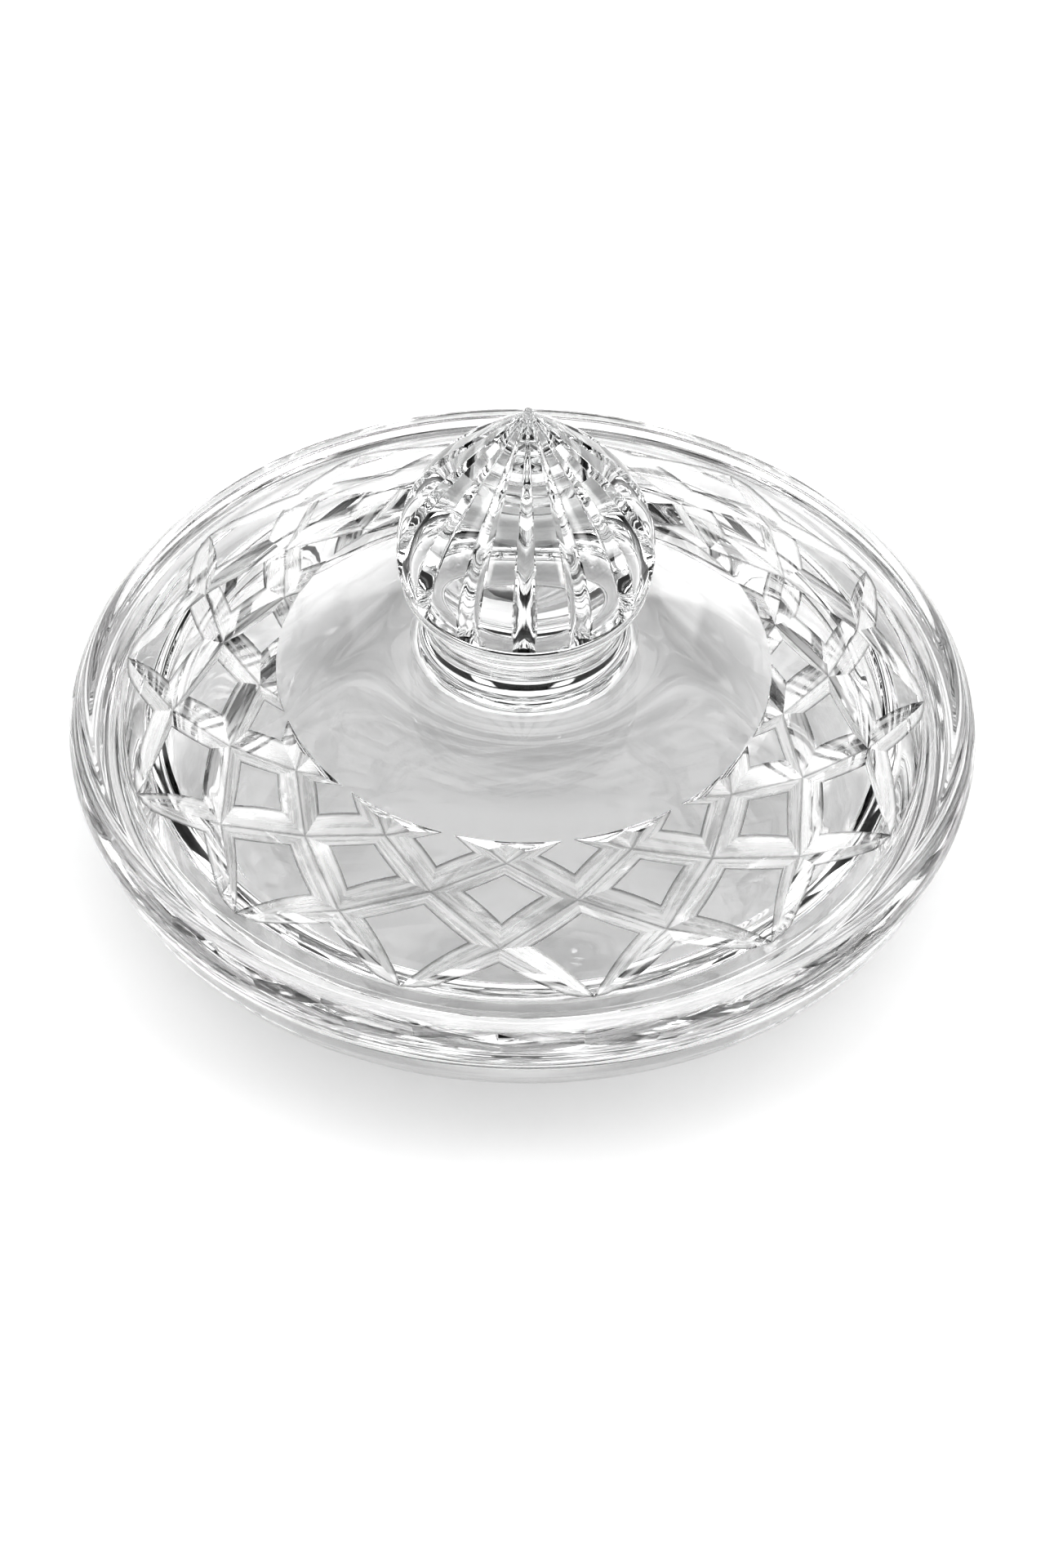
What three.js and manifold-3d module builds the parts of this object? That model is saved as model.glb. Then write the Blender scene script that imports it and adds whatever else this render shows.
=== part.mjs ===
// A cut crystal powder jar: a low round bowl, a shallow domed lid that lifts off it, and a pointed
// fluted knob joined to the crown of the lid.
// Millimetres, +Z up. The origin is the centre of the flat base that the bowl stands on.

import * as THREE from "three";
import { mergeVertices } from "three/addons/utils/BufferGeometryUtils.js";
import Module from "manifold-3d";

// Overall sizes.
const LID_RADIUS = 57.5; // the widest circle of the jar, at the middle of the lid's edge
const LID_EDGE_Z = 21; // height of that circle
const KNOB_TOP_Z = 78;
const JOINT_GAP = 0.3; // left between pieces that touch

// The lattice cut into the lid: rows of stars, each row turned half a step from the one before it,
// joined by V-shaped grooves.
const STARS_PER_ROW = 13;
const FIRST_STAR = THREE.MathUtils.degToRad(17.8); // turn of the lattice about the axis, from +X
const STAR_ROW_RADII = [0.58, 0.672, 0.771, 0.886].map((part) => part * LID_RADIUS);
const GROOVE_DEPTH = 1.45;
const GROOVE_SPREAD = 1.65; // half width of a groove for each millimetre of its depth
const GROOVE_CLEARANCE = 0.3; // how far a cutter stands above the glass
const GROOVE_END_DEPTH = 0.06; // at the outermost stars, where the grooves run out

// The lid.
const CROWN_SEAT_RADIUS = 14.4;
const CROWN_SEAT_Z = 38.2;
const BAND_INNER_RADIUS = 31.3; // the plain centre ends here and the cut band starts
const BAND_INNER_Z = 32.7;
const BAND_OUTER_RADIUS = 51;
const BAND_SLOPE = 3; // how far the band falls along a straight line that leaves its inner edge
const BAND_CURVE = 5.6; // how much further it curves down
const FILLET_START_RADIUS = 49; // a wide fillet leads from the band into the flat rim
const FILLET_END_RADIUS = 54.5;
const RIM_UNDER_Z = 18.5;
const RIM_ROUND_CENTRE_RADIUS = 54.6;
const RIM_ROUND_HEIGHT = 3.15;
const SPIGOT_OUTER_RADIUS = 48.9; // the ring under the lid that drops into the bowl's mouth
const SPIGOT_INNER_RADIUS = 44.6;
const SPIGOT_UNDER_Z = 15.6;

// The bowl.
const MOUTH_RADIUS = 49.6;
const BOWL_TOP_Z = RIM_UNDER_Z - JOINT_GAP;
const FLOOR_Z = 5;
const FOOT_RADIUS = 38;

// The knob.
const FLUTES = 14;
const FIRST_FLUTE = Math.PI / FLUTES; // turn of the flutes about the axis, from +X
const FLUTE_DEPTH = 0.095; // as a share of the knob's radius at each height
const FLUTE_HALF_WIDTH = 0.2; // as a share of one panel
const FLUTES_END_Z = 51.2; // the plain collar starts here
const NECK_RADIUS = 12.65;

const LATHE_STEPS = STARS_PER_ROW * 4;

const wasm = await Module();
wasm.setup();

// Points of an ellipse's arc in the (radius, height) plane, from one angle to another in degrees.
function arc(centreRadius, centreZ, sizeRadius, sizeZ, fromDegrees, toDegrees, steps) {
  const points = [];
  for (let i = 0; i <= steps; i++) {
    const angle = THREE.MathUtils.degToRad(fromDegrees + ((toDegrees - fromDegrees) * i) / steps);
    points.push([centreRadius + sizeRadius * Math.cos(angle), centreZ + sizeZ * Math.sin(angle)]);
  }
  return points;
}

// A body turned about the Z axis from a profile of [radius, height] points that runs along the
// underside, round the edge and back over the top, with a column of corners at firstTurn.
function turned(profile, steps, firstTurn) {
  const points = profile.map(([radius, height]) => new THREE.Vector2(radius, height));
  const geometry = new THREE.LatheGeometry(points, steps);
  geometry.rotateX(Math.PI / 2);
  geometry.rotateZ(firstTurn + Math.PI / 2);
  return geometry;
}

function solidOf(geometry) {
  const bare = geometry.clone();
  bare.deleteAttribute("normal");
  bare.deleteAttribute("uv");
  const merged = mergeVertices(bare, 1e-4);
  const vertProperties = merged.attributes.position.array;
  const triVerts = new Uint32Array(merged.index.array);
  return new wasm.Manifold(new wasm.Mesh({ numProp: 3, vertProperties, triVerts }));
}

function geometryOf(solid) {
  const mesh = solid.getMesh();
  const geometry = new THREE.BufferGeometry();
  geometry.setAttribute("position", new THREE.BufferAttribute(mesh.vertProperties, 3));
  geometry.setIndex(new THREE.BufferAttribute(mesh.triVerts, 1));
  return geometry;
}

// The body of glass that a V-edged wheel takes out along a line of stations. Each station has the
// groove's bottom point, the direction out of the glass there, and the groove's depth.
function grooveCutter(stations) {
  const corners = [];
  stations.forEach(({ bottom, outward, depth }, i) => {
    const before = stations[Math.max(i - 1, 0)].bottom;
    const after = stations[Math.min(i + 1, stations.length - 1)].bottom;
    const along = after.clone().sub(before).normalize();
    const across = new THREE.Vector3().crossVectors(outward, along).normalize();
    const up = new THREE.Vector3().crossVectors(along, across);
    const high = depth + GROOVE_CLEARANCE;
    const top = bottom.clone().addScaledVector(up, high);
    corners.push(bottom);
    corners.push(top.clone().addScaledVector(across, high * GROOVE_SPREAD));
    corners.push(top.clone().addScaledVector(across, -high * GROOVE_SPREAD));
  });

  const triangles = [0, 2, 1];
  for (let here = 0; here < corners.length - 3; here += 3) {
    for (let side = 0; side < 3; side++) {
      const next = (side + 1) % 3;
      triangles.push(here + side, here + next, here + 3 + next);
      triangles.push(here + side, here + 3 + next, here + 3 + side);
    }
  }
  const last = corners.length - 3;
  triangles.push(last, last + 1, last + 2);
  const geometry = new THREE.BufferGeometry();
  const flat = corners.flatMap((corner) => [corner.x, corner.y, corner.z]);
  geometry.setAttribute("position", new THREE.Float32BufferAttribute(flat, 3));
  geometry.setIndex(triangles);
  return geometry;
}

function pointAt(radius, turn, height) {
  return new THREE.Vector3(radius * Math.cos(turn), radius * Math.sin(turn), height);
}

// Height of the lid's upper surface from the plain centre's edge out to the rim, before it is cut.
function bandHeight(radius) {
  const width = BAND_OUTER_RADIUS - BAND_INNER_RADIUS;
  const share = (Math.min(radius, FILLET_START_RADIUS) - BAND_INNER_RADIUS) / width;
  const height = BAND_INNER_Z - BAND_SLOPE * share - BAND_CURVE * share ** 2;
  if (radius <= FILLET_START_RADIUS) return height;
  const fall = (BAND_SLOPE + 2 * BAND_CURVE * share) / width;
  const out = Math.min(radius, FILLET_END_RADIUS) - FILLET_START_RADIUS;
  return height - fall * out + (fall * out ** 2) / (2 * (FILLET_END_RADIUS - FILLET_START_RADIUS));
}

// The direction out of the glass at a point of the band.
function bandOutward(radius, turn) {
  const slope = Math.atan((bandHeight(radius - 0.1) - bandHeight(radius + 0.1)) / 0.2);
  return pointAt(Math.sin(slope), turn, Math.cos(slope));
}

// One groove runs from star to star across the whole band, each time half a step round to one side,
// and runs out at the outermost row.
function latticeGroove(firstTurn, side) {
  const halfStep = (side * Math.PI) / STARS_PER_ROW;
  const radii = [2 * STAR_ROW_RADII[0] - STAR_ROW_RADII[1], ...STAR_ROW_RADII];
  const stations = [];
  radii.slice(0, -1).forEach((radius, row) => {
    const isLast = row === radii.length - 2;
    const turn = firstTurn + halfStep * (row - 1);
    const start = pointAt(radius, turn, bandHeight(radius) - GROOVE_DEPTH);
    const outer = radii[row + 1];
    const end = pointAt(outer, turn + halfStep, bandHeight(outer) - GROOVE_DEPTH);
    for (const share of isLast ? [0, 0.4, 0.7, 0.85, 1] : [0, 0.5]) {
      const bottom = start.clone().lerp(end, share);
      const here = Math.hypot(bottom.x, bottom.y);
      if (isLast) {
        const runOut = GROOVE_DEPTH - (GROOVE_DEPTH - GROOVE_END_DEPTH) * share ** 3;
        bottom.z = bandHeight(here) - runOut;
      }
      const outward = bandOutward(here, Math.atan2(bottom.y, bottom.x));
      const depth = (bandHeight(here) - bottom.z) * outward.z;
      stations.push({ bottom, outward, depth });
    }
  });
  return grooveCutter(stations);
}

// The grooves of both directions, kept to the band so that they end in a small wall at the plain centre.
function latticeCutters() {
  const ring = [
    [BAND_INNER_RADIUS, RIM_UNDER_Z],
    [FILLET_END_RADIUS, RIM_UNDER_Z],
    [FILLET_END_RADIUS, CROWN_SEAT_Z],
    [BAND_INNER_RADIUS, CROWN_SEAT_Z],
    [BAND_INNER_RADIUS, RIM_UNDER_Z],
  ];
  const band = solidOf(turned(ring, LATHE_STEPS, FIRST_STAR));
  const cutters = [];
  for (const side of [-1, 1]) {
    for (let star = 0; star < STARS_PER_ROW; star++) {
      const turn = FIRST_STAR + (star * 2 * Math.PI) / STARS_PER_ROW;
      cutters.push(solidOf(latticeGroove(turn, side)).intersect(band));
    }
  }
  return cutters;
}

function makeLidDome() {
  const roundRadius = LID_RADIUS - RIM_ROUND_CENTRE_RADIUS;
  const roundUnder = THREE.MathUtils.radToDeg(Math.asin((RIM_UNDER_Z - LID_EDGE_Z) / RIM_ROUND_HEIGHT));
  const bandRadii = [FILLET_END_RADIUS, 52.6, STAR_ROW_RADII[3], FILLET_START_RADIUS, 46.7];
  bandRadii.push(STAR_ROW_RADII[2], 41.5, STAR_ROW_RADII[1], 36, STAR_ROW_RADII[0], BAND_INNER_RADIUS);
  const profile = [
    [0, 33],
    [8, 32.75],
    [16, 31.5],
    [24, 29.4],
    [32, 26.9],
    [39, 24.4],
    [43, 22],
    [SPIGOT_INNER_RADIUS, 19.2],
    [SPIGOT_INNER_RADIUS, SPIGOT_UNDER_Z + 0.6],
    [SPIGOT_INNER_RADIUS + 0.6, SPIGOT_UNDER_Z],
    [SPIGOT_OUTER_RADIUS - 0.8, SPIGOT_UNDER_Z],
    [SPIGOT_OUTER_RADIUS, SPIGOT_UNDER_Z + 0.8],
    [SPIGOT_OUTER_RADIUS, RIM_UNDER_Z],
    ...arc(RIM_ROUND_CENTRE_RADIUS, LID_EDGE_Z, roundRadius, RIM_ROUND_HEIGHT, roundUnder, 0, 3),
    ...arc(RIM_ROUND_CENTRE_RADIUS, LID_EDGE_Z, roundRadius, RIM_ROUND_HEIGHT, 25, 75, 2),
    ...bandRadii.map((radius) => [radius, bandHeight(radius)]),
    [23, 35.3],
    [CROWN_SEAT_RADIUS, CROWN_SEAT_Z],
    [0, CROWN_SEAT_Z],
  ];
  let dome = solidOf(turned(profile, LATHE_STEPS, FIRST_STAR));
  for (const cutter of latticeCutters()) {
    dome = dome.subtract(cutter);
  }
  return geometryOf(dome);
}

// The knob's radius is pulled in along each flute: full depth where the onion is widest, running
// out at the collar below and at the tip above.
function cutFlutes(geometry) {
  const position = geometry.attributes.position;
  for (let i = 0; i < position.count; i++) {
    const height = position.getZ(i);
    const radius = Math.hypot(position.getX(i), position.getY(i));
    if (height <= FLUTES_END_Z || radius < 1) continue;
    const turn = Math.atan2(position.getY(i), position.getX(i)) - FIRST_FLUTE;
    const panels = (turn / (2 * Math.PI)) * FLUTES;
    const fromFlute = Math.abs(panels - Math.round(panels));
    const kept = 1 - FLUTE_DEPTH * Math.max(0, 1 - fromFlute / FLUTE_HALF_WIDTH);
    position.setX(i, position.getX(i) * kept);
    position.setY(i, position.getY(i) * kept);
  }
  return geometry;
}

// Turns the equal columns of a lathe into columns on the middle and both edges of each flute and on
// the middle of each panel.
function gatherColumns(geometry) {
  const position = geometry.attributes.position;
  const shares = [0, FLUTE_HALF_WIDTH, 0.5, 1 - FLUTE_HALF_WIDTH];
  for (let i = 0; i < position.count; i++) {
    const radius = Math.hypot(position.getX(i), position.getY(i));
    if (radius < 1e-6) continue;
    const turn = Math.atan2(position.getY(i), position.getX(i)) - FIRST_FLUTE;
    const column = Math.round((turn / (2 * Math.PI)) * FLUTES * 4 + FLUTES * 4) % (FLUTES * 4);
    const placed = FIRST_FLUTE + ((Math.floor(column / 4) + shares[column % 4]) / FLUTES) * 2 * Math.PI;
    position.setX(i, radius * Math.cos(placed));
    position.setY(i, radius * Math.sin(placed));
  }
  return geometry;
}

function makeLidKnob() {
  const foot = CROWN_SEAT_Z + JOINT_GAP;
  const profile = [
    [0, foot],
    [CROWN_SEAT_RADIUS - 0.6, foot],
    [CROWN_SEAT_RADIUS - 0.3, foot + 0.5],
    [13.6, foot + 1.6],
    [13.4, foot + 2.4],
    [NECK_RADIUS, foot + 4],
    [NECK_RADIUS, foot + 6.6],
    [13.4, foot + 8.2],
    [14.9, foot + 9.4],
    [15.6, FLUTES_END_Z - 1.4],
    [15.5, FLUTES_END_Z],
    [16.2, FLUTES_END_Z + 1.6],
    [16.4, FLUTES_END_Z + 3.4],
    [15.9, FLUTES_END_Z + 6],
    [14.4, FLUTES_END_Z + 9.4],
    [11.5, FLUTES_END_Z + 14],
    [8, FLUTES_END_Z + 18.4],
    [4.5, FLUTES_END_Z + 22.2],
    [1.7, FLUTES_END_Z + 25],
    ...arc(0, KNOB_TOP_Z - 0.85, 0.85, 0.85, -30, 90, 4),
  ];
  profile[profile.length - 1][0] = 0;
  return cutFlutes(gatherColumns(turned(profile, FLUTES * 4, FIRST_FLUTE)));
}

function makeBowl() {
  const profile = [
    [0, 0],
    [FOOT_RADIUS - 0.4, 0],
    [FOOT_RADIUS + 0.8, 0.8],
    [44.5, 5],
    [50.6, 10.2],
    [53.4, 12],
    [54.7, 13.6],
    [55.4, 15.4],
    [56, 17.4],
    [55.4, BOWL_TOP_Z],
    [MOUTH_RADIUS + 0.6, BOWL_TOP_Z],
    [MOUTH_RADIUS, BOWL_TOP_Z - 0.6],
    ...arc(35.6, FLOOR_Z + 9, MOUTH_RADIUS - 0.2 - 35.6, 9, 0, -90, 6),
    [0, FLOOR_Z],
  ];
  return turned(profile, LATHE_STEPS, FIRST_STAR);
}

function crystal() {
  return new THREE.MeshStandardMaterial({
    color: 0xe9eeee,
    roughness: 0.03,
    metalness: 0,
    transparent: true,
    opacity: 0.35,
  });
}

function piece(name, geometry) {
  const mesh = new THREE.Mesh(geometry, crystal());
  mesh.name = name;
  return mesh;
}

const bowl = piece("bowl", makeBowl());
const lid = new THREE.Group();
lid.add(piece("lid_dome", makeLidDome()), piece("lid_knob", makeLidKnob()));

const powderJar = new THREE.Group();
powderJar.add(bowl, lid);

export default powderJar;
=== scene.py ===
"""A cut crystal powder jar: low bowl, lattice-cut lid and fluted knob, all in clear glass."""

import math

import bmesh
import bpy
import numpy as np
from mathutils import Matrix, Vector


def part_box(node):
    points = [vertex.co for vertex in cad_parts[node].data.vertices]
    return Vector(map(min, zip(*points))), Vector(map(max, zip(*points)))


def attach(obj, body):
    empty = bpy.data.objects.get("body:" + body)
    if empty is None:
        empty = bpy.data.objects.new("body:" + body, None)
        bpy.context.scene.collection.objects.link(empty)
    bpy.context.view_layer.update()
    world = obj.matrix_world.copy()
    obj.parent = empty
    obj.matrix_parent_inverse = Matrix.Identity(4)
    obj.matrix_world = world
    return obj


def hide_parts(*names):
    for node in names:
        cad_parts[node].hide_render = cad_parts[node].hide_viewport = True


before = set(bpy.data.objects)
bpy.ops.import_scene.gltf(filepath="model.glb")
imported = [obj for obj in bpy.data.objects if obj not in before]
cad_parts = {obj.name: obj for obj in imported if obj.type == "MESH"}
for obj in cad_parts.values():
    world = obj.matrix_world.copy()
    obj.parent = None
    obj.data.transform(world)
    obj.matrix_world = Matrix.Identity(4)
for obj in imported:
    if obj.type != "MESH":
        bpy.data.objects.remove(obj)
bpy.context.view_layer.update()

MM = 0.001

# ---------------------------------------------------------------- sizes, in millimetres
CROWN_SEAT_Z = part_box("lid_dome")[1].z / MM
KNOB_TOP_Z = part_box("lid_knob")[1].z / MM

LID_RADIUS = 57.42
LID_EDGE_Z = 21.0
RIM_CENTRE_RADIUS = 54.6
RIM_HALF_HEIGHT = 3.15
RIM_UNDER_Z = 18.5
RING_INNER_RADIUS, RING_OUTER_RADIUS = 44.6, 48.9

STARS_PER_ROW = 13
FIRST_STAR = math.radians(17.8)
STAR_RADII = [33.35, 38.64, 44.33, 50.95]
GROOVE_DEPTH = 1.45
GROOVE_SPREAD = 1.65
GROOVE_CLEARANCE = 0.3
GROOVE_STEPS = 8
GROOVE_RISE = 0.96
GROOVE_LIMIT_RADIUS = 51.4
GROOVE_LIMIT_Z = (18, 40)
LATHE_STEPS = STARS_PER_ROW * 24

BAND_INNER_RADIUS, BAND_OUTER_RADIUS = 31.3, 51.0
BAND_INNER_Z = 32.7
BAND_SLOPE = 3.0
BAND_CURVE = 5.6
BAND_STEPS = 34
FILLET_START, FILLET_END = 49.0, 54.5
CENTRE_SLOPE = BAND_SLOPE / (BAND_OUTER_RADIUS - BAND_INNER_RADIUS)
CENTRE_CURVE = 0.0103
CENTRE_STEPS = 16
CROWN_SEAT_RADIUS = 14.4

KNOB_FOOT_Z = CROWN_SEAT_Z + 0.02
COLLAR_RADIUS, COLLAR_Z, COLLAR_SIZE = 14.0, 49.3, 1.75
FLUTES = 14
FIRST_FLUTE = math.pi / FLUTES
FLUTES_END_Z = 51.0
FLUTE_FADE = 1.2
FLUTE_DEPTH = 0.095
FLUTE_HALF_WIDTH = 0.2
PANEL_WIDTH = 1.012
PANEL_FLATNESS = 0.4
ONION_RADIUS = 16.4
ONION_WIDEST_Z = 53.9
ONION_SHARPNESS = 1.07
ONION_TUCK = 13.5
ONION_STEPS = 60
TIP_RADIUS = 0.85
TIP_NECK = 1.3

BOWL_HOLLOW_RADIUS = 49.4
BOWL_FLOOR_Z = 5
BOWL_HOLLOW_Z = 14
BOWL_CORNER_RADIUS = 35.6


# ---------------------------------------------------------------- shape helpers (millimetres)
def arc(centre_radius, centre_z, size_radius, size_z, start, end, steps):
    """Points of an ellipse's arc in the (radius, height) plane, from one angle to another in degrees."""
    points = []
    for i in range(steps + 1):
        angle = math.radians(start + (end - start) * i / steps)
        points.append((centre_radius + size_radius * math.cos(angle), centre_z + size_z * math.sin(angle)))
    return points


def smooth_through(points, steps):
    """A smooth curve (Catmull-Rom) through a few (radius, height) points."""
    points = [np.array(p, float) for p in points]
    ends = [2 * points[0] - points[1]] + points + [2 * points[-1] - points[-2]]
    curve = []
    for i in range(1, len(ends) - 2):
        a, b, c, d = ends[i - 1:i + 3]
        for k in range(steps):
            t = k / steps
            curve.append(tuple(0.5 * (2 * b + (c - a) * t + (2 * a - 5 * b + 4 * c - d) * t**2
                                      + (3 * b - a - 3 * c + d) * t**3)))
    curve.append(tuple(points[-1]))
    return curve


def point_at(radius, angle, height):
    return Vector((radius * math.cos(angle), radius * math.sin(angle), height))


def mesh_object(name, corners, faces):
    """A mesh object from corners in metres."""
    mesh = bpy.data.meshes.new(name)
    mesh.from_pydata([tuple(c) for c in corners], [], faces)
    obj = bpy.data.objects.new(name, mesh)
    bpy.context.scene.collection.objects.link(obj)
    return obj


def turned(name, profile, first=FIRST_STAR, steps=LATHE_STEPS, radius_at=None):
    """A closed body turned about Z from (radius, height) points that run from the axis out along
    the underside and back over the top to the axis. radius_at can shape the radius by angle."""
    corners = [(0, 0, profile[0][1] * MM)]
    for radius, height in profile[1:-1]:
        for k in range(steps):
            angle = first + 2 * math.pi * k / steps
            here = radius_at(radius, height, angle) if radius_at else radius
            corners.append((here * MM * math.cos(angle), here * MM * math.sin(angle), height * MM))
    corners.append((0, 0, profile[-1][1] * MM))
    faces = []
    rings = len(profile) - 2
    for k in range(steps):
        n = (k + 1) % steps
        faces.append((0, 1 + n, 1 + k))
        for ring in range(rings - 1):
            a = 1 + ring * steps
            faces.append((a + k, a + n, a + steps + n, a + steps + k))
        top = 1 + (rings - 1) * steps
        faces.append((top + k, top + n, len(corners) - 1))
    return mesh_object(name, corners, faces)


def turned_ring(name, profile):
    """A closed ring turned about Z from a closed (radius, height) outline."""
    corners, faces = [], []
    count = len(profile)
    for radius, height in profile:
        for k in range(LATHE_STEPS):
            corners.append(point_at(radius, FIRST_STAR + 2 * math.pi * k / LATHE_STEPS, height) * MM)
    for i in range(count):
        here, follow = i * LATHE_STEPS, (i + 1) % count * LATHE_STEPS
        for k in range(LATHE_STEPS):
            n = (k + 1) % LATHE_STEPS
            faces.append((here + k, here + n, follow + n, follow + k))
    return mesh_object(name, corners, faces)


def groove_cutter(bottom, depths, outwards):
    """Corners and faces of the glass that a V-edged wheel takes out along a line of bottom points."""
    corners = []
    count = len(bottom)
    for i in range(count):
        along = (bottom[min(i + 1, count - 1)] - bottom[max(i - 1, 0)]).normalized()
        across = outwards[i].cross(along).normalized()
        up = along.cross(across)
        high = depths[i] + GROOVE_CLEARANCE
        corners += [bottom[i], bottom[i] + up * high + across * high * GROOVE_SPREAD,
                    bottom[i] + up * high - across * high * GROOVE_SPREAD]
    faces = [(0, 2, 1)]
    for ring in range(count - 1):
        here = 3 * ring
        for side in range(3):
            follow = (side + 1) % 3
            faces.append((here + side, here + follow, here + 3 + follow, here + 3 + side))
    last = 3 * (count - 1)
    faces.append((last, last + 1, last + 2))
    return corners, faces


def joined_cutters(name, cutters):
    corners, faces = [], []
    for cutter_corners, cutter_faces in cutters:
        first = len(corners)
        corners += [c * MM for c in cutter_corners]
        faces += [tuple(first + i for i in face) for face in cutter_faces]
    return mesh_object(name, corners, faces)


def boolean(obj, tool, operation):
    """Cuts one closed body by another, or keeps what they share, as plain mesh."""
    modifier = obj.modifiers.new(operation.lower(), "BOOLEAN")
    modifier.operation = operation
    modifier.object = tool
    modifier.solver = "MANIFOLD"
    depsgraph = bpy.context.evaluated_depsgraph_get()
    made = bpy.data.meshes.new_from_object(obj.evaluated_get(depsgraph))
    obj.modifiers.clear()
    obj.data = made


SHARP_EDGE = math.radians(14)
MERGE_DISTANCE = 2e-6
SLIVER_LENGTH = 1e-6


def polish(obj):
    """Smooth shading over the turned surfaces, with every cut's edge left crisp."""
    bm = bmesh.new()
    bm.from_mesh(obj.data)
    bmesh.ops.remove_doubles(bm, verts=bm.verts, dist=MERGE_DISTANCE)
    bmesh.ops.dissolve_degenerate(bm, edges=bm.edges, dist=SLIVER_LENGTH)
    bmesh.ops.recalc_face_normals(bm, faces=bm.faces)
    bm.to_mesh(obj.data)
    bm.free()
    obj.data.polygons.foreach_set("use_smooth", [True] * len(obj.data.polygons))
    obj.data.set_sharp_from_angle(angle=SHARP_EDGE)


# ---------------------------------------------------------------- lid
def band_height(radius):
    """The lid's upper surface from the plain centre's edge out to the rim, before it is cut."""
    share = (min(radius, FILLET_START) - BAND_INNER_RADIUS) / (BAND_OUTER_RADIUS - BAND_INNER_RADIUS)
    height = BAND_INNER_Z - BAND_SLOPE * share - BAND_CURVE * share**2
    if radius <= FILLET_START:
        return height
    fall = (BAND_SLOPE + 2 * BAND_CURVE * share) / (BAND_OUTER_RADIUS - BAND_INNER_RADIUS)
    out = min(radius, FILLET_END) - FILLET_START
    return height - fall * out + fall * out**2 / (2 * (FILLET_END - FILLET_START))


def band_slope(radius):
    """How far the band leans outwards, as an angle."""
    reach = 0.1
    return math.atan((band_height(radius - reach) - band_height(radius + reach)) / (2 * reach))


def centre_height(radius):
    inward = BAND_INNER_RADIUS - radius
    return BAND_INNER_Z + CENTRE_SLOPE * inward + CENTRE_CURVE * inward**2


def lattice_grooves(side):
    """Grooves that run from star to star out across the band, all leaning the same way. Each starts
    inside the plain centre's edge, and rises out of the glass past the outer row."""
    step = 2 * math.pi / STARS_PER_ROW
    rows = [2 * STAR_RADII[0] - STAR_RADII[1]] + STAR_RADII
    grooves = []
    for star in range(STARS_PER_ROW):
        bottom, depths, outwards = [], [], []
        for row in range(len(rows) - 1):
            last = row == len(rows) - 2
            inner, outer = rows[row], rows[row + 1]
            turn = FIRST_STAR + step * (star + side * (row - 1) / 2)
            start = point_at(inner, turn, band_height(inner) - GROOVE_DEPTH)
            end = point_at(outer, turn + side * step / 2, band_height(outer) - GROOVE_DEPTH)
            for i in range(GROOVE_STEPS + (1 if last else 0)):
                share = i / GROOVE_STEPS
                point = start.lerp(end, share)
                radius = math.hypot(point.x, point.y)
                if last:
                    point.z = band_height(radius) - GROOVE_DEPTH * (1 - GROOVE_RISE * share**3)
                slope = band_slope(radius)
                bottom.append(point)
                depths.append((band_height(radius) - point.z) * math.cos(slope))
                outwards.append(point_at(math.sin(slope), math.atan2(point.y, point.x), math.cos(slope)))
        grooves.append(groove_cutter(bottom, depths, outwards))
    return grooves


def cut_lattice(dome):
    """The grooves reach only over the band: they end in a wall at the plain centre."""
    low, high = GROOVE_LIMIT_Z
    limits = [(BAND_INNER_RADIUS, low), (GROOVE_LIMIT_RADIUS, low),
              (GROOVE_LIMIT_RADIUS, high), (BAND_INNER_RADIUS, high)]
    for side in (-1, 1):
        tool = joined_cutters("lattice_cutters", lattice_grooves(side))
        ring = turned_ring("band_limits", limits)
        boolean(tool, ring, "INTERSECT")
        boolean(dome, tool, "DIFFERENCE")
        bpy.data.objects.remove(tool)
        bpy.data.objects.remove(ring)


def make_lid_dome():
    rim_reach = LID_RADIUS - RIM_CENTRE_RADIUS
    rim_top = math.degrees(math.acos((FILLET_END - RIM_CENTRE_RADIUS) / rim_reach))
    rim_under = -math.degrees(math.asin((LID_EDGE_Z - RIM_UNDER_Z) / RIM_HALF_HEIGHT))
    hollow = smooth_through([(3, 32.98), (8, 32.75), (16, 31.5), (24, 29.4), (32, 26.9), (39, 24.4),
                             (43, 22.0)], 6)
    ring_inside = smooth_through([(43.9, 21.2), (44.5, 20.2), (RING_INNER_RADIUS, 19.2)], 4)
    ring_foot = (arc(RING_INNER_RADIUS + 0.6, 16.2, 0.6, 0.6, 180, 270, 5)
                 + arc(RING_OUTER_RADIUS - 0.8, 16.4, 0.8, 0.8, -90, 0, 5))
    ring_outside = [(RING_OUTER_RADIUS, RIM_UNDER_Z - 0.2), (RING_OUTER_RADIUS + 0.1, RIM_UNDER_Z)]
    rim = arc(RIM_CENTRE_RADIUS, LID_EDGE_Z, rim_reach, RIM_HALF_HEIGHT, rim_under, rim_top, 20)
    band_step = (BAND_INNER_RADIUS - FILLET_END) / BAND_STEPS
    band = [FILLET_END + band_step * i for i in range(BAND_STEPS)]
    centre_step = (CROWN_SEAT_RADIUS - BAND_INNER_RADIUS) / CENTRE_STEPS
    centre = [BAND_INNER_RADIUS + centre_step * i for i in range(CENTRE_STEPS)]
    profile = (
        [(0, 33.0)]
        + hollow
        + ring_inside
        + ring_foot
        + ring_outside
        + rim
        + [(radius, band_height(radius)) for radius in band]
        + [(radius, centre_height(radius)) for radius in centre]
        + [(CROWN_SEAT_RADIUS, CROWN_SEAT_Z), (CROWN_SEAT_RADIUS / 2, CROWN_SEAT_Z), (0, CROWN_SEAT_Z)]
    )
    dome = turned("lid_dome_glass", profile)
    cut_lattice(dome)
    polish(dome)
    return dome


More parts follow.
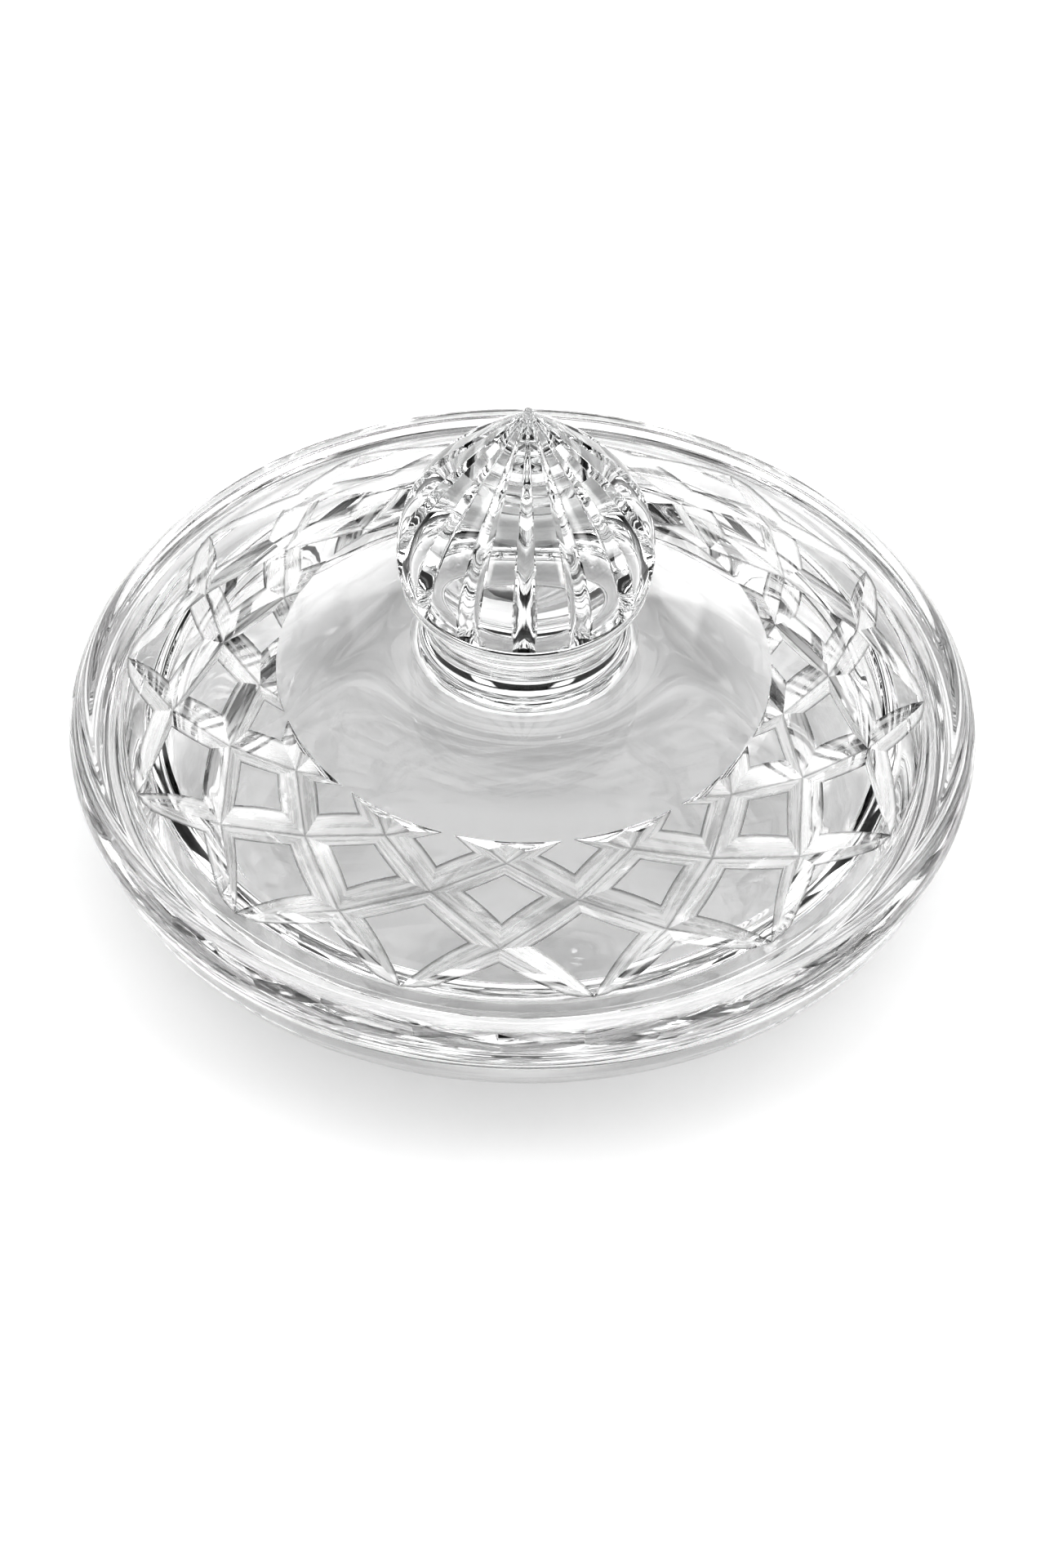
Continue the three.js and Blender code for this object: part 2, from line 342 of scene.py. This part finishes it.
# ---------------------------------------------------------------- knob
def flute_radius(radius, height, angle):
    """The onion's radius at an angle: flat panels with a narrow V cut between each two."""
    if height <= FLUTES_END_Z or radius < 1:
        return radius
    panels = (angle - FIRST_FLUTE) / (2 * math.pi) * FLUTES
    from_flute = abs(panels - round(panels))
    fade = min(1, (height - FLUTES_END_Z) / FLUTE_FADE)
    across = (0.5 - from_flute) * 2 * math.pi / FLUTES
    flat = radius * math.cos(math.pi / FLUTES) / math.cos(across) * PANEL_WIDTH
    flattened = radius + (min(flat, radius) - radius) * fade * PANEL_FLATNESS
    depth = radius * FLUTE_DEPTH * max(0, 1 - from_flute / FLUTE_HALF_WIDTH) * fade
    return flattened - depth


def onion_radius(height):
    down = (KNOB_TOP_Z - height) / (KNOB_TOP_Z - ONION_WIDEST_Z)
    if down <= 1:
        return ONION_RADIUS * math.sin(math.pi / 2 * down**ONION_SHARPNESS)
    return ONION_RADIUS * math.cos((ONION_WIDEST_Z - height) / ONION_TUCK)


def make_lid_knob():
    """The foot meets the crown in a flare, and its flat joint face lies on the crown's seat."""
    foot = KNOB_FOOT_Z
    neck = smooth_through([(14.38, foot), (13.9, foot + 0.33), (13.35, foot + 0.95), (12.95, foot + 1.9),
                           (12.7, foot + 3.3), (12.62, foot + 4.9), (12.75, foot + 6.6), (13.2, foot + 8.0),
                           (14.2, foot + 9.2)], 6)
    collar = arc(COLLAR_RADIUS, COLLAR_Z, COLLAR_SIZE, COLLAR_SIZE, -50, 62, 12)
    rise = (KNOB_TOP_Z - TIP_NECK - FLUTES_END_Z) / ONION_STEPS
    heights = [FLUTES_END_Z + rise * i for i in range(ONION_STEPS + 1)]
    onion = [(onion_radius(height), height) for height in heights]
    tip = arc(0, KNOB_TOP_Z - TIP_RADIUS, TIP_RADIUS, TIP_RADIUS, -25, 80, 8)
    profile = [(0, foot), (CROWN_SEAT_RADIUS / 2, foot)] + neck + collar + onion + tip + [(0, KNOB_TOP_Z)]
    knob = turned("lid_knob_glass", profile, FIRST_FLUTE, FLUTES * 32, flute_radius)
    polish(knob)
    return knob


# ---------------------------------------------------------------- bowl
def make_bowl():
    outside = smooth_through([(38.8, 0.8), (41.2, 2.6), (44.8, 5.2), (50.4, 10.0), (53.4, 12.1),
                              (54.7, 13.6), (55.4, 15.4), (55.95, 17.2)], 6)
    lip = arc(55.2, 17.45, 0.75, 0.75, 0, 90, 6) + arc(50.3, 17.5, 0.7, 0.7, 90, 180, 6)
    hollow = arc(BOWL_CORNER_RADIUS, BOWL_HOLLOW_Z, BOWL_HOLLOW_RADIUS - BOWL_CORNER_RADIUS,
                 BOWL_HOLLOW_Z - BOWL_FLOOR_Z, 0, -90, 22)
    profile = (
        [(0, 0), (19, 0), (37.4, 0), (38.2, 0.2)]
        + outside
        + lip
        + hollow
        + [(BOWL_CORNER_RADIUS / 2, BOWL_FLOOR_Z), (0, BOWL_FLOOR_Z)]
    )
    bowl = turned("bowl_glass", profile)
    polish(bowl)
    return bowl


# ---------------------------------------------------------------- node helpers
def set_values(node, values):
    for name, value in values.items():
        node.inputs[name].default_value = value


def node_math(nodes, links, operation, first, second=0.0):
    """A Math node of one or two inputs, each a number or another node's output."""
    node = nodes.new("ShaderNodeMath")
    node.operation = operation
    for socket, value in zip(node.inputs, (first, second)):
        if isinstance(value, float):
            socket.default_value = value
        else:
            links.new(value, socket)
    return node.outputs["Value"]


def faded(nodes, links, value, edge, low, high):
    """Goes smoothly from low to high as the value crosses the edge."""
    fade = nodes.new("ShaderNodeMapRange")
    fade.interpolation_type = "SMOOTHSTEP"
    set_values(fade, {"From Min": edge[0], "From Max": edge[1], "To Min": low, "To Max": high})
    links.new(value, fade.inputs["Value"])
    return fade.outputs["Result"]


def new_material(name):
    material = bpy.data.materials.new(name)
    material.use_nodes = True
    return material, material.node_tree.nodes, material.node_tree.links


# ---------------------------------------------------------------- materials
GLASS_IOR = 1.545
BODY_TINT = (0.985, 0.985, 0.985)
# The knob's glass is tinted darker than the bowl's and dome's: partly the solid knob's thicker glass,
# partly painted shade.
KNOB_TINT_WITH_PAINTED_SHADE = (0.875, 0.88, 0.88)
CUT_TINT = (1, 1, 1)
SMEAR_SCALE = 90
WAVE_SCALE = 55
WAVE_HEIGHT = 1 * MM
BODY_WAVINESS, CUT_WAVINESS = 0.05, 0.1
BODY_ROUGHNESS, CUT_ROUGHNESS = 0.02, 0.12
STREAK_SCALE = 110
STREAK_CLOSENESS = 0.05
# Painted shade: the cut's colour turns grey near its edges and down its valley.
PAINTED_SHADE_EDGE_DEPTHS, PAINTED_SHADE_EDGE_GREY = (0.02, 0.2), 0.3
PAINTED_SHADE_VALLEY_DEPTHS, PAINTED_SHADE_VALLEY_GREY = (0.9, 1.0), 0.5
CUT_MILKIEST, CUT_CLEAREST = 0.5, 0.97


def crystal(name, tint, distortion, waviness=BODY_WAVINESS, roughest=BODY_ROUGHNESS):
    """Clear glass with faint smears, and a slow wave in its surface."""
    material, nodes, links = new_material(name)
    shader = nodes["Principled BSDF"]
    set_values(shader, {"Base Color": (*tint, 1), "Transmission Weight": 1, "IOR": GLASS_IOR})
    place = nodes.new("ShaderNodeTexCoord")

    smear = nodes.new("ShaderNodeTexNoise")
    set_values(smear, {"Scale": SMEAR_SCALE, "Detail": 4})
    links.new(place.outputs["Object"], smear.inputs["Vector"])
    rough = nodes.new("ShaderNodeMapRange")
    set_values(rough, {"From Min": 0.35, "From Max": 0.75, "To Min": 0.0, "To Max": roughest})
    links.new(smear.outputs["Fac"], rough.inputs["Value"])
    links.new(rough.outputs["Result"], shader.inputs["Roughness"])

    wave = nodes.new("ShaderNodeTexNoise")
    set_values(wave, {"Scale": WAVE_SCALE, "Detail": 1, "Distortion": distortion})
    links.new(place.outputs["Object"], wave.inputs["Vector"])
    bump = nodes.new("ShaderNodeBump")
    set_values(bump, {"Strength": waviness, "Distance": WAVE_HEIGHT})
    links.new(wave.outputs["Fac"], bump.inputs["Height"])
    links.new(bump.outputs["Normal"], shader.inputs["Normal"])
    return material


def cut_glass():
    """The wheel's cuts: milky streaks along each cut, and painted shade: grey along its edges and down its
    valley.
    """
    material = crystal("crystal_cut", CUT_TINT, 0.5, CUT_WAVINESS, CUT_ROUGHNESS)
    nodes, links = material.node_tree.nodes, material.node_tree.links
    shader = nodes["Principled BSDF"]
    depth = nodes.new("ShaderNodeAttribute")
    depth.attribute_name = "cut_depth"
    # Painted shade: grey along the cut's edges and its valley, by depth.
    edge = faded(nodes, links, depth.outputs["Fac"], PAINTED_SHADE_EDGE_DEPTHS, PAINTED_SHADE_EDGE_GREY, 1.0)
    valley = faded(nodes, links, depth.outputs["Fac"], PAINTED_SHADE_VALLEY_DEPTHS, 1.0, PAINTED_SHADE_VALLEY_GREY)
    links.new(node_math(nodes, links, "MULTIPLY", edge, valley), shader.inputs["Base Color"])

    place = nodes.new("ShaderNodeTexCoord")
    streaks = nodes.new("ShaderNodeTexNoise")
    streaks.noise_dimensions = "4D"
    set_values(streaks, {"Scale": STREAK_SCALE, "Detail": 1})
    links.new(place.outputs["Object"], streaks.inputs["Vector"])
    across = node_math(nodes, links, "MULTIPLY", depth.outputs["Fac"], STREAK_CLOSENESS)
    links.new(across, streaks.inputs["W"])
    clear = faded(nodes, links, streaks.outputs["Fac"], (0.4, 0.62), CUT_MILKIEST, CUT_CLEAREST)
    links.new(clear, shader.inputs["Transmission Weight"])
    return material


def clear_bond():
    """The fused joint between the knob and the crown: no change of index, so light goes straight on."""
    material, nodes, links = new_material("fused_joint")
    set_values(nodes["Principled BSDF"],
               {"Base Color": (1, 1, 1, 1), "Roughness": 0, "Transmission Weight": 1, "IOR": 1.0})
    return material


def fuse(obj, bond, height):
    """Gives the flat joint face of a piece the fused joint's material."""
    obj.data.materials.append(bond)
    index = len(obj.data.materials) - 1
    for face in obj.data.polygons:
        centre = face.center / MM
        if abs(centre.z - height) < 0.01 and math.hypot(centre.x, centre.y) < CROWN_SEAT_RADIUS:
            face.material_index = index


def below_band(point):
    """How far a point lies under the uncut surface of the band, and its distance from the axis."""
    place = point / MM
    radius = math.hypot(place.x, place.y)
    return band_height(radius) - place.z, radius


def grind(obj, material):
    """Gives the faces of the lattice grooves the cut's material, and each point its share of depth."""
    margin = 0.02
    shallowest, deepest = 0.03, GROOVE_DEPTH + 0.5
    obj.data.materials.append(material)
    index = len(obj.data.materials) - 1
    depth = obj.data.attributes.new("cut_depth", "FLOAT", "POINT")
    for vertex in obj.data.vertices:
        below, radius = below_band(vertex.co)
        depth.data[vertex.index].value = min(1, max(0, below / GROOVE_DEPTH))
    for face in obj.data.polygons:
        below, radius = below_band(face.center)
        on_band = BAND_INNER_RADIUS + margin < radius < GROOVE_LIMIT_RADIUS
        if on_band and shallowest < below < deepest:
            face.material_index = index


def dress(obj, material, body, node):
    obj.data.materials.clear()
    obj.data.materials.append(material)
    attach(obj, body)
    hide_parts(node)


# ---------------------------------------------------------------- studio
FLOOR_HALF_SIZE = 3.0
FLOOR_DROP = 0.1 * MM
FLOOR_ALBEDO = 0.77
FLOOR_GRAIN = 0.02
FLOOR_GLOW = 0.47
# Painted pool of light: the floor's colour and glow fade between these distances, down to this share.
PAINTED_LIGHT_POOL_FADE, PAINTED_LIGHT_POOL_FAR_SHARE = (0.18, 0.9), 0.4
# Painted shadow: the floor's glow is darker within this distance of the jar's axis, down to this share.
PAINTED_SHADOW_UNDER_JAR_REACH, PAINTED_SHADOW_UNDER_JAR_SHARE = (0.02, 0.06), 0.57

CANOPY_RADIANCE = 1.62
CANOPY_EDGE = (0.6, 0.7)
STRIP_RADIANCE = 6.5
STRIP_COUNT = 11.0
STRIP_EDGE = (0.55, 0.9)
STRIP_FOOT, STRIP_HEAD = (0.1, 0.2), (0.5, 0.6)
UNEVEN_COUNT, UNEVEN_SHARE = 5.0, 0.25
STRIP_POWER, POWER_TO_THE_RIGHT, POWER_TO_THE_BACK = 0.85, 0.3, -0.6
CARD_DIRECTION = Vector((0, -1, 0.9)).normalized()
CARD_EDGE, CARD_SHARE = (0.8, 0.92), 0.15


def floor_material():
    """A pale light table: it glows a little, so the shadow on it stays soft. Its colour and glow are
    painted dimmer far away, a painted pool of light, and its glow is painted darker right under the jar, a
    painted shadow.
    """
    material, nodes, links = new_material("studio_floor")
    shader = nodes["Principled BSDF"]
    set_values(shader, {"Roughness": 0.9, "Emission Strength": FLOOR_GLOW})
    place = nodes.new("ShaderNodeTexCoord")
    distance = nodes.new("ShaderNodeVectorMath")
    distance.operation = "LENGTH"
    links.new(place.outputs["Object"], distance.inputs[0])
    # Painted pool of light: colour and glow dimmer far from the jar.
    fall = faded(nodes, links, distance.outputs["Value"], PAINTED_LIGHT_POOL_FADE, 1.0, PAINTED_LIGHT_POOL_FAR_SHARE)
    # Painted shadow: the glow is darker right under the jar.
    under_jar_painted_shadow = faded(nodes, links, distance.outputs["Value"], PAINTED_SHADOW_UNDER_JAR_REACH, PAINTED_SHADOW_UNDER_JAR_SHARE, 1.0)

    noise = nodes.new("ShaderNodeTexNoise")
    set_values(noise, {"Scale": 4})
    links.new(place.outputs["Object"], noise.inputs["Vector"])
    grain = nodes.new("ShaderNodeMapRange")
    set_values(grain, {"To Min": FLOOR_ALBEDO, "To Max": FLOOR_ALBEDO + FLOOR_GRAIN})
    links.new(noise.outputs["Fac"], grain.inputs["Value"])
    grain_and_painted_light_pool = node_math(nodes, links, "MULTIPLY", fall, grain.outputs["Result"])
    links.new(grain_and_painted_light_pool, shader.inputs["Base Color"])
    links.new(node_math(nodes, links, "MULTIPLY", fall, under_jar_painted_shadow), shader.inputs["Emission Color"])
    return material


def make_floor():
    bm = bmesh.new()
    bmesh.ops.create_grid(bm, x_segments=2, y_segments=2, size=FLOOR_HALF_SIZE)
    mesh = bpy.data.meshes.new("studio_floor")
    bm.to_mesh(mesh)
    bm.free()
    floor = bpy.data.objects.new("studio_floor", mesh)
    floor.location.z = -FLOOR_DROP
    bpy.context.scene.collection.objects.link(floor)
    mesh.materials.append(floor_material())


def make_lights():
    """A white canopy overhead, a ring of soft upright strip lamps with dark gaps between them, and a
    dark card in front that keeps the nearest surfaces from glaring."""
    world = bpy.data.worlds.new("studio")
    bpy.context.scene.world = world
    world.use_nodes = True
    nodes, links = world.node_tree.nodes, world.node_tree.links
    place = nodes.new("ShaderNodeTexCoord")
    split = nodes.new("ShaderNodeSeparateXYZ")
    links.new(place.outputs["Generated"], split.inputs["Vector"])
    x, y, z = split.outputs["X"], split.outputs["Y"], split.outputs["Z"]

    def times(first, second):
        return node_math(nodes, links, "MULTIPLY", first, second)

    def plus(first, second):
        return node_math(nodes, links, "ADD", first, second)

    canopy = faded(nodes, links, z, CANOPY_EDGE, 0.0, CANOPY_RADIANCE)

    turn = node_math(nodes, links, "ARCTAN2", y, x)
    even = node_math(nodes, links, "SINE", times(turn, STRIP_COUNT))
    uneven = node_math(nodes, links, "SINE", times(turn, UNEVEN_COUNT))
    spacing = plus(even, times(uneven, UNEVEN_SHARE))
    strips = faded(nodes, links, spacing, STRIP_EDGE, 0.0, STRIP_RADIANCE)
    foot = faded(nodes, links, z, STRIP_FOOT, 0.0, 1.0)
    head = faded(nodes, links, z, STRIP_HEAD, 1.0, 0.0)
    sideways = plus(times(x, POWER_TO_THE_RIGHT), times(y, POWER_TO_THE_BACK))
    lamps = times(times(strips, times(foot, head)), plus(sideways, STRIP_POWER))

    towards_card = nodes.new("ShaderNodeVectorMath")
    towards_card.operation = "DOT_PRODUCT"
    towards_card.inputs[1].default_value = CARD_DIRECTION
    links.new(place.outputs["Generated"], towards_card.inputs[0])
    card = faded(nodes, links, towards_card.outputs["Value"], CARD_EDGE, 1.0, CARD_SHARE)
    links.new(times(plus(canopy, lamps), card), nodes["Background"].inputs["Color"])


# ---------------------------------------------------------------- camera
CAMERA_ELEVATION = math.radians(45)
CAMERA_ROLL = math.radians(1.05)
CAMERA_DISTANCE = 3.0
SENSOR_SIZE = 36
IMAGE_WIDTH, IMAGE_HEIGHT = 1280, 1920
FRAMED_RADIUS = 57.5
LID_SHARE_OF_WIDTH = 0.86875
LID_RISE_SHARE_OF_HEIGHT = 0.0328125


def make_camera():
    """Looks down at the jar from the front; the lid's edge is a little above the frame's middle."""
    view_width = 2 * FRAMED_RADIUS * MM / LID_SHARE_OF_WIDTH
    view_height = view_width * IMAGE_HEIGHT / IMAGE_WIDTH
    data = bpy.data.cameras.new("camera")
    data.sensor_width = SENSOR_SIZE
    data.lens = CAMERA_DISTANCE * SENSOR_SIZE / view_height
    data.clip_end = 20
    camera = bpy.data.objects.new("camera", data)
    bpy.context.scene.collection.objects.link(camera)
    back = Vector((0, -math.cos(CAMERA_ELEVATION), math.sin(CAMERA_ELEVATION)))
    level = (-back).to_track_quat("-Z", "Y")
    turn = level @ Matrix.Rotation(CAMERA_ROLL, 3, "Z").to_quaternion()
    up = turn @ Vector((0, 1, 0))
    aim = Vector((0, 0, LID_EDGE_Z * MM)) - up * view_height * LID_RISE_SHARE_OF_HEIGHT
    camera.location = aim + back * CAMERA_DISTANCE
    camera.rotation_mode = "QUATERNION"
    camera.rotation_quaternion = turn
    bpy.context.scene.camera = camera


# ---------------------------------------------------------------- the jar
make_camera()
make_lights()
make_floor()

bowl = make_bowl()
dome = make_lid_dome()
knob = make_lid_knob()
dress(bowl, crystal("crystal_bowl", BODY_TINT, 0.3), "bowl", "bowl")
dress(dome, crystal("crystal_dome", BODY_TINT, 0.5), "lid", "lid_dome")
dress(knob, crystal("crystal_knob", KNOB_TINT_WITH_PAINTED_SHADE, 0.7), "lid", "lid_knob")
bond = clear_bond()
fuse(dome, bond, CROWN_SEAT_Z)
fuse(knob, bond, KNOB_FOOT_Z)
grind(dome, cut_glass())

scene = bpy.context.scene
scene.view_settings.view_transform = "Standard"
scene.view_settings.gamma = 0.76
scene.cycles.max_bounces = 24
scene.cycles.transmission_bounces = 24
scene.cycles.glossy_bounces = 12
scene.cycles.diffuse_bounces = 4
